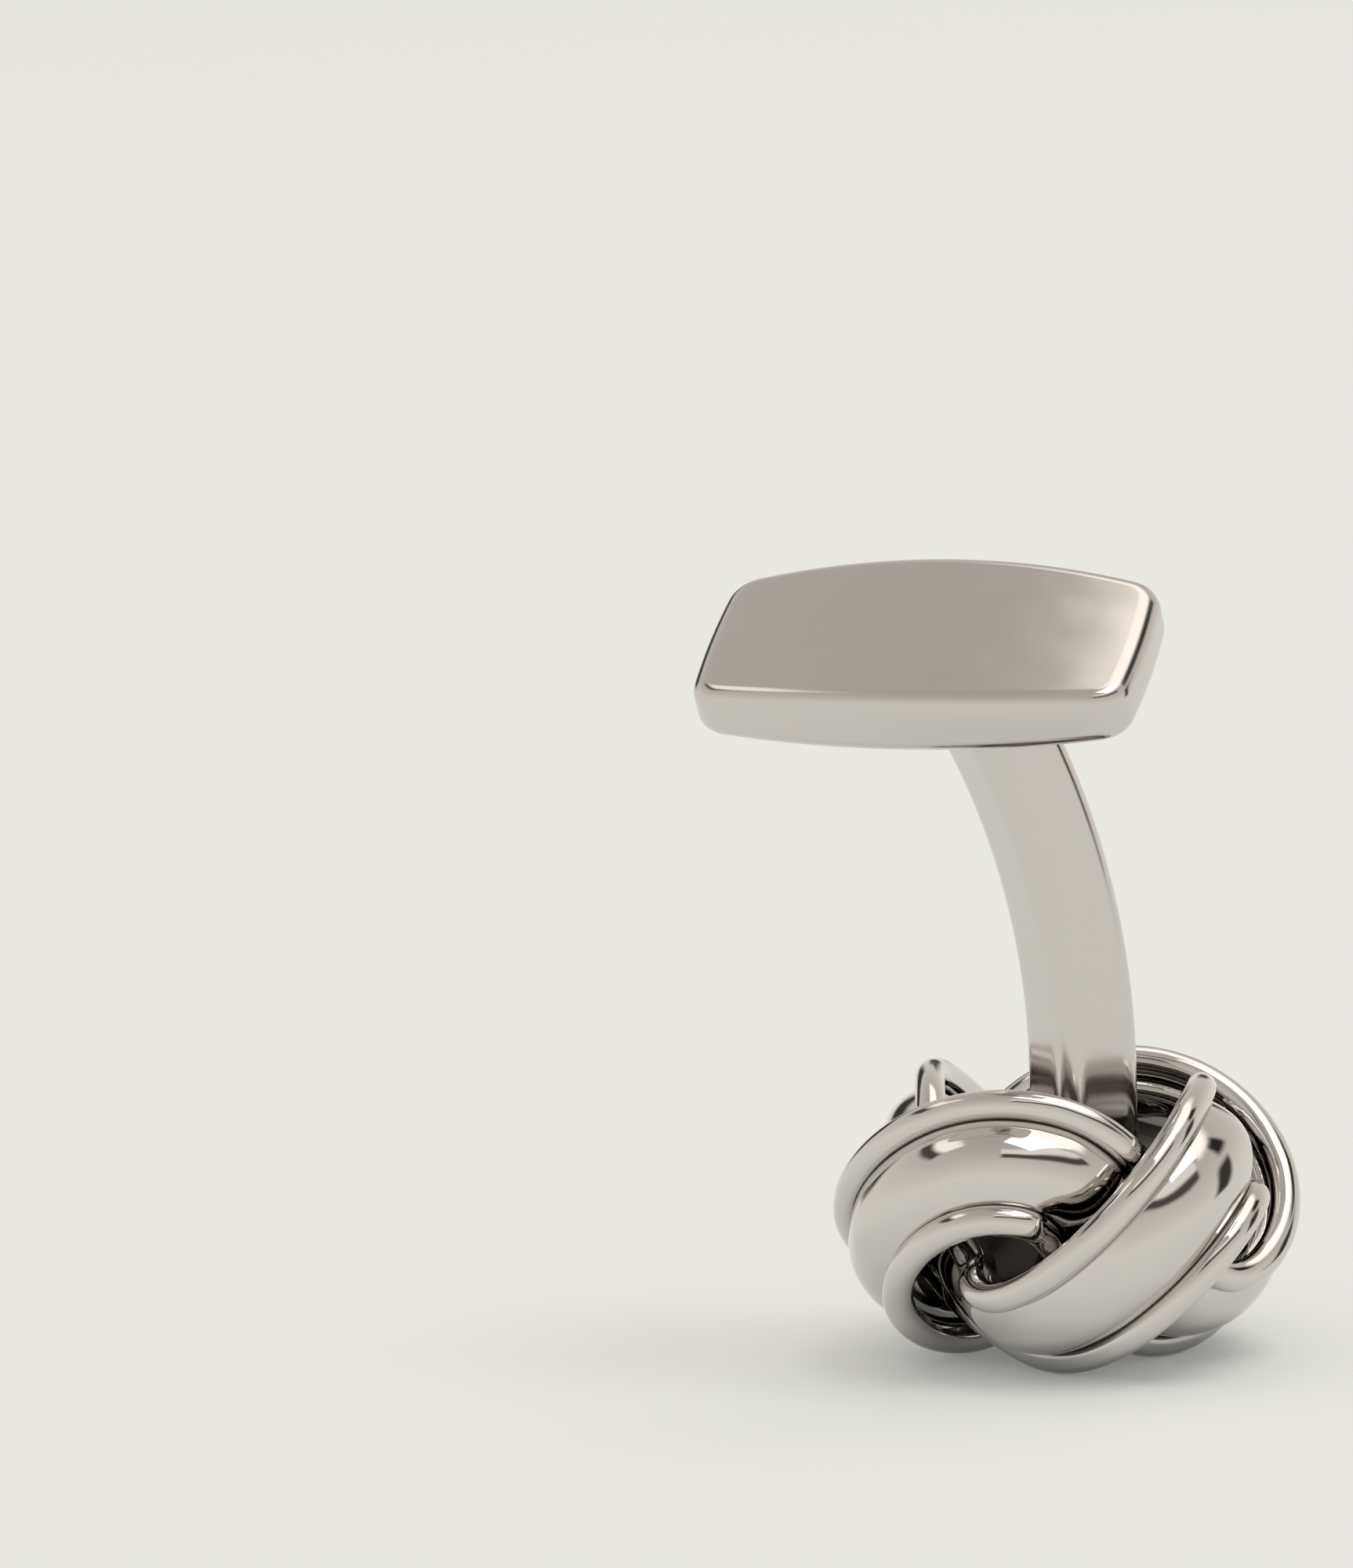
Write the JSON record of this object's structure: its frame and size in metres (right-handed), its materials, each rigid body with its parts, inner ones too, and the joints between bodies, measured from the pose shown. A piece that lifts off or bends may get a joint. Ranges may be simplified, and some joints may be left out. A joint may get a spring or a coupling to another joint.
{
  "type": "cufflink",
  "caption": "Knot cufflink: interlaced loops of crowned band edged with round wire, on a curved square post with a fixed pillow-shaped toggle bar that keeps a shirt cuff closed.",
  "frame": {"origin": "on the axis of the knot, at the plane that the front of the knot rests on", "axes": "+Z along the knot's axis from its front towards the toggle bar, +X along the length of the bar, -Y the way that the outer face of the bar leans"},
  "size_m": [0.0164, 0.0132, 0.0237],
  "materials": {
    "knot_metal": "mirror polished, silver coloured",
    "toggle_metal": "polished, silver coloured, faint fine brushing"
  },
  "bodies": {
    "root": {"strip_1_band": "knot_metal", "strip_1_front_wire": "knot_metal", "strip_1_back_wire": "knot_metal", "strip_2_band": "knot_metal", "strip_2_front_wire": "knot_metal", "strip_2_back_wire": "knot_metal", "strip_3_band": "knot_metal", "strip_3_front_wire": "knot_metal", "strip_3_back_wire": "knot_metal", "strip_4_band": "knot_metal", "strip_4_front_wire": "knot_metal", "strip_4_back_wire": "knot_metal", "knot_seat": "knot_metal", "post": "toggle_metal", "post_collar": "toggle_metal", "toggle_bar": "toggle_metal"}
  },
  "joints": []
}
